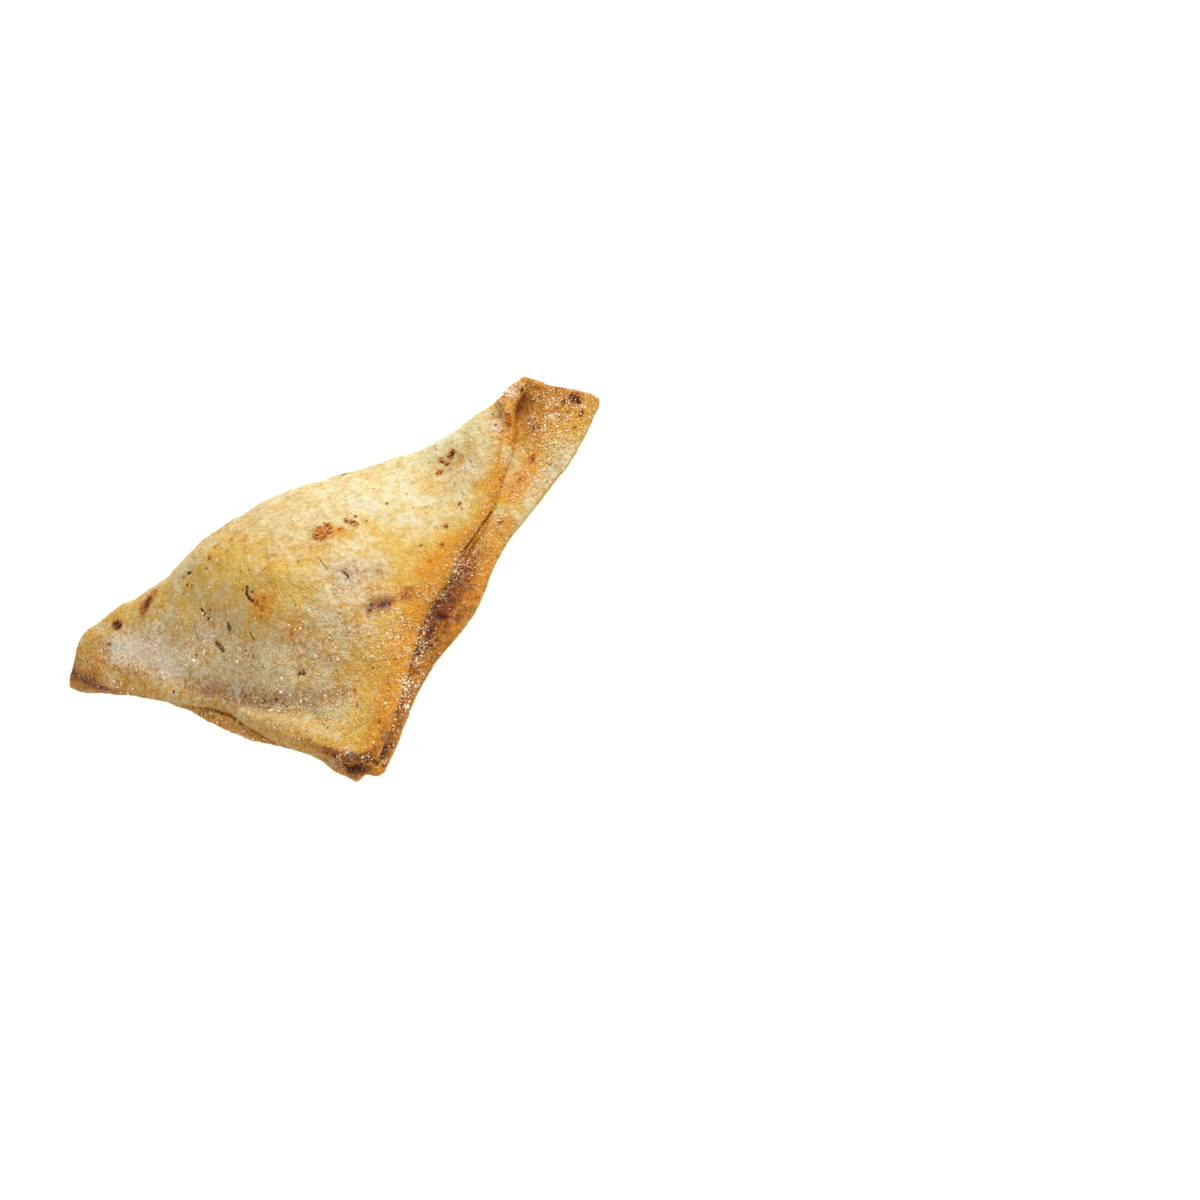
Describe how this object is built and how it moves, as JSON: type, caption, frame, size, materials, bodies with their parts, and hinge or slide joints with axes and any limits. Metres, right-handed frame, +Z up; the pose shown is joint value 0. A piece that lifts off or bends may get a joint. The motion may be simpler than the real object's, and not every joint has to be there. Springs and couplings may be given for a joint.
{
  "type": "empanada",
  "caption": "Triangular baked pastry turnover: a sheet of dough folded over a filling, with layered cut edges and an open loop at one tip.",
  "frame": {"origin": "centre of the bounding box's bottom, on the table", "axes": "+X along the fold towards the tip with the open loop, +Y from the square corner towards the fold, +Z up through the bulge"},
  "size_m": [0.133, 0.0784, 0.0229],
  "materials": {
    "baked_dough": "matte baked crust, pale gold with browned edges"
  },
  "bodies": {
    "root": {"turnover": "baked_dough"}
  },
  "joints": []
}
